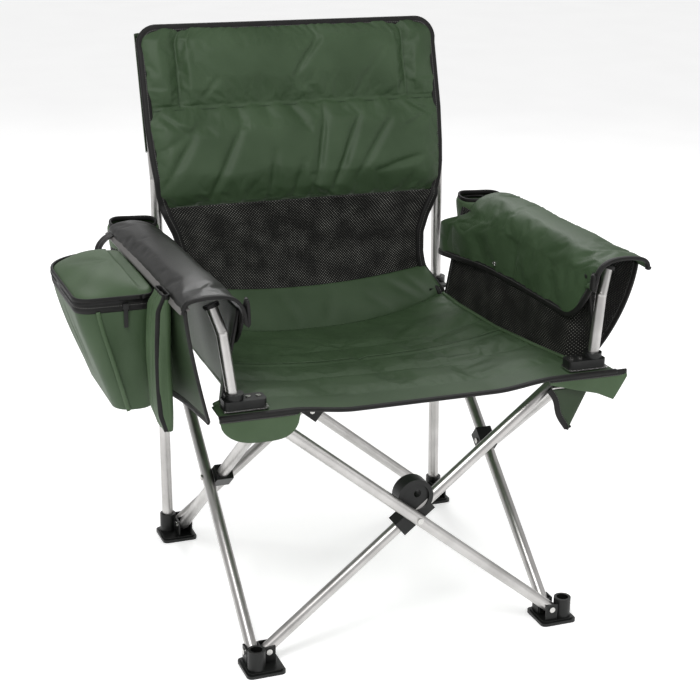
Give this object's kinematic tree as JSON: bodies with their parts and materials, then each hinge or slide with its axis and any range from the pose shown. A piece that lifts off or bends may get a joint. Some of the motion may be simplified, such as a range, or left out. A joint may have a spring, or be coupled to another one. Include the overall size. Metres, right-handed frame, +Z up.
{
  "type": "folding camp chair",
  "caption": "Folding camp chair with crossing tube legs, padded fabric seat and back, two covered arms, cup rings and a lidded cooler bag on one arm.",
  "frame": {"origin": "on the floor, under the middle of the whole chair's box", "axes": "+X to the right as seen from the front, +Y from the front to the back, +Z up"},
  "size_m": [1.0084, 0.7619, 1.035],
  "materials": {
    "black_mesh": "open black mesh",
    "green_fabric": "woven polyester, forest green",
    "grey_pad": "charcoal coated fabric",
    "moulding": "black moulding",
    "rivet": "bright rivet",
    "steel": "satin brushed tube"
  },
  "bodies": {
    "rear_left_foot": {"foot_rear_left": "moulding", "foot_rivets_rear_left": "rivet"},
    "left_inner_leg": {"left_leg_inner": "steel", "left_saddle": "moulding", "cross_rivet_left": "rivet"},
    "left_outer_leg": {"left_leg_outer": "steel"},
    "front_left_foot": {"foot_front_left": "moulding", "foot_rivets_front_left": "rivet"},
    "left_slider": {"slider_left": "moulding", "slider_rivets_left": "rivet", "cup_ring_left": "moulding"},
    "left_arm": {"bracket_left": "moulding", "socket_block_left": "moulding", "bracket_plate_left": "rivet", "bracket_rivets_left": "rivet", "arm_post_left": "steel", "arm_post_cap_left": "moulding", "arm_cover_left": "grey_pad", "side_panel_left": "green_fabric", "corner_flap_left": "green_fabric", "cooler_body": "green_fabric", "bottle_sleeve": "green_fabric"},
    "front_inner_leg": {"front_leg_inner": "steel", "front_hub": "moulding", "cross_rivet_front": "rivet"},
    "front_outer_leg": {"front_leg_outer": "steel"},
    "front_right_foot": {"foot_front_right": "moulding", "foot_rivets_front_right": "rivet"},
    "right_arm": {"bracket_right": "moulding", "socket_block_right": "moulding", "bracket_plate_right": "rivet", "bracket_rivets_right": "rivet", "arm_post_right": "steel", "arm_post_cap_right": "moulding", "arm_cover_right": "green_fabric", "side_panel_right": "black_mesh", "corner_flap_right": "green_fabric"},
    "rear_outer_leg": {"rear_leg_outer": "steel"},
    "rear_inner_leg": {"rear_leg_inner": "steel", "rear_saddle": "moulding", "cross_rivet_rear": "rivet"},
    "rear_right_foot": {"foot_rear_right": "moulding", "foot_rivets_rear_right": "rivet"},
    "right_outer_leg": {"right_leg_outer": "steel"},
    "right_inner_leg": {"right_leg_inner": "steel", "right_saddle": "moulding", "cross_rivet_right": "rivet"},
    "right_slider": {"slider_right": "moulding", "slider_rivets_right": "rivet", "cup_ring_right": "moulding"},
    "left_back_post": {"back_post_left": "steel", "back_upper": "green_fabric", "back_mesh": "black_mesh", "back_lower": "green_fabric"},
    "right_back_post": {"back_post_right": "steel"},
    "seat_front_half": {"seat_front": "green_fabric"},
    "seat_rear_half": {"seat_rear": "green_fabric"},
    "lid": {"cooler_lid": "green_fabric"},
    "zip_slider": {"zip_pull": "moulding"}
  },
  "joints": [
    {"name": "fold", "type": "hinge", "parent": "rear_left_foot", "child": "left_inner_leg", "pos_m": [-0.2018, 0.21904, 0.03], "axis": [-1, 0, 0], "range_deg": [0, 36], "deforming": ["seat_front", "seat_rear", "back_upper", "back_mesh", "back_lower", "arm_cover_left", "arm_cover_right", "side_panel_left", "side_panel_right"]},
    {"name": "left_cross_pivot", "type": "hinge", "parent": "left_inner_leg", "child": "left_outer_leg", "pos_m": [-0.2148, -0.05596, 0.2525], "axis": [1, 0, 0], "range_deg": [0, 72]},
    {"name": "front_left_foot_pivot", "type": "hinge", "parent": "left_outer_leg", "child": "front_left_foot", "pos_m": [-0.2278, -0.33096, 0.03], "axis": [-1, 0, 0], "range_deg": [0, 36]},
    {"name": "left_slider_pivot", "type": "hinge", "parent": "left_outer_leg", "child": "left_slider", "pos_m": [-0.2278, 0.21904, 0.475], "axis": [-1, 0, 0], "range_deg": [0, 36]},
    {"name": "left_bracket_pivot", "type": "hinge", "parent": "left_inner_leg", "child": "left_arm", "pos_m": [-0.2018, -0.33096, 0.475], "axis": [1, 0, 0], "range_deg": [0, 36]},
    {"name": "front_inner_leg_pivot", "type": "hinge", "parent": "front_left_foot", "child": "front_inner_leg", "pos_m": [-0.2008, -0.33196, 0.03], "axis": [0, -1, 0], "range_deg": [0, 36]},
    {"name": "front_hub_pivot", "type": "hinge", "parent": "front_inner_leg", "child": "front_outer_leg", "pos_m": [0.0742, -0.34496, 0.2525], "axis": [0, 1, 0], "range_deg": [0, 72]},
    {"name": "front_right_foot_pivot", "type": "hinge", "parent": "front_outer_leg", "child": "front_right_foot", "pos_m": [0.3492, -0.35796, 0.03], "axis": [0, -1, 0], "range_deg": [0, 36]},
    {"name": "right_bracket_pivot", "type": "hinge", "parent": "front_inner_leg", "child": "right_arm", "pos_m": [0.3492, -0.33196, 0.475], "axis": [0, 1, 0], "range_deg": [0, 36]},
    {"name": "rear_outer_leg_pivot", "type": "hinge", "parent": "rear_left_foot", "child": "rear_outer_leg", "pos_m": [-0.2008, 0.24604, 0.03], "axis": [0, -1, 0], "range_deg": [0, 36]},
    {"name": "rear_cross_pivot", "type": "hinge", "parent": "rear_outer_leg", "child": "rear_inner_leg", "pos_m": [0.0742, 0.23304, 0.2525], "axis": [0, 1, 0], "range_deg": [0, 72]},
    {"name": "rear_right_foot_pivot", "type": "hinge", "parent": "rear_inner_leg", "child": "rear_right_foot", "pos_m": [0.3492, 0.22004, 0.03], "axis": [0, -1, 0], "range_deg": [0, 36]},
    {"name": "right_outer_leg_pivot", "type": "hinge", "parent": "rear_right_foot", "child": "right_outer_leg", "pos_m": [0.3762, 0.21904, 0.03], "axis": [-1, 0, 0], "range_deg": [0, 36]},
    {"name": "right_cross_pivot", "type": "hinge", "parent": "right_outer_leg", "child": "right_inner_leg", "pos_m": [0.3632, -0.05596, 0.2525], "axis": [1, 0, 0], "range_deg": [0, 72]},
    {"name": "right_slider_pivot", "type": "hinge", "parent": "right_inner_leg", "child": "right_slider", "pos_m": [0.3502, 0.21904, 0.475], "axis": [-1, 0, 0], "range_deg": [0, 36]},
    {"name": "left_post_pivot", "type": "hinge", "parent": "rear_left_foot", "child": "left_back_post", "pos_m": [-0.2288, 0.24704, 0.025], "axis": [1, 0, 0], "range_deg": [0, 1.02]},
    {"name": "right_post_pivot", "type": "hinge", "parent": "rear_right_foot", "child": "right_back_post", "pos_m": [0.3772, 0.24704, 0.025], "axis": [1, 0, 0], "range_deg": [0, 1.02]},
    {"name": "seat_front_hinge", "type": "hinge", "parent": "left_arm", "child": "seat_front_half", "pos_m": [-0.2008, -0.31096, 0.4944], "axis": [-1, 0, 0], "range_deg": [0, 63.2]},
    {"name": "seat_rear_hinge", "type": "hinge", "parent": "left_slider", "child": "seat_rear_half", "pos_m": [-0.2008, 0.19564, 0.4404], "axis": [1, 0, 0], "range_deg": [0, 75.62]},
    {"name": "lid_hinge", "type": "hinge", "parent": "left_arm", "child": "lid", "pos_m": [-0.3562, -0.06396, 0.6784], "axis": [0, 1, 0], "range_deg": [0, 90]},
    {"name": "zip_slide", "type": "slide", "parent": "left_arm", "child": "zip_slider", "axis": [-1, 0, 0], "range_m": [-0.026, 0.06]}
  ],
  "couplings": [
    {"joint": "left_cross_pivot", "follows": "fold", "ratio": 2},
    {"joint": "front_left_foot_pivot", "follows": "fold", "ratio": 1},
    {"joint": "left_slider_pivot", "follows": "fold", "ratio": 1},
    {"joint": "left_bracket_pivot", "follows": "fold", "ratio": 1},
    {"joint": "front_inner_leg_pivot", "follows": "fold", "ratio": 1},
    {"joint": "front_hub_pivot", "follows": "fold", "ratio": 2},
    {"joint": "front_right_foot_pivot", "follows": "fold", "ratio": 1},
    {"joint": "right_bracket_pivot", "follows": "fold", "ratio": 1},
    {"joint": "rear_outer_leg_pivot", "follows": "fold", "ratio": 1},
    {"joint": "rear_cross_pivot", "follows": "fold", "ratio": 2},
    {"joint": "rear_right_foot_pivot", "follows": "fold", "ratio": 1},
    {"joint": "right_outer_leg_pivot", "follows": "fold", "ratio": 1},
    {"joint": "right_cross_pivot", "follows": "fold", "ratio": 2},
    {"joint": "right_slider_pivot", "follows": "fold", "ratio": 1},
    {"joint": "left_post_pivot", "follows": "fold", "ratio": 0.02833},
    {"joint": "right_post_pivot", "follows": "fold", "ratio": 0.02833},
    {"joint": "seat_front_hinge", "follows": "fold", "ratio": 1.7554},
    {"joint": "seat_rear_hinge", "follows": "fold", "ratio": 2.1006}
  ]
}
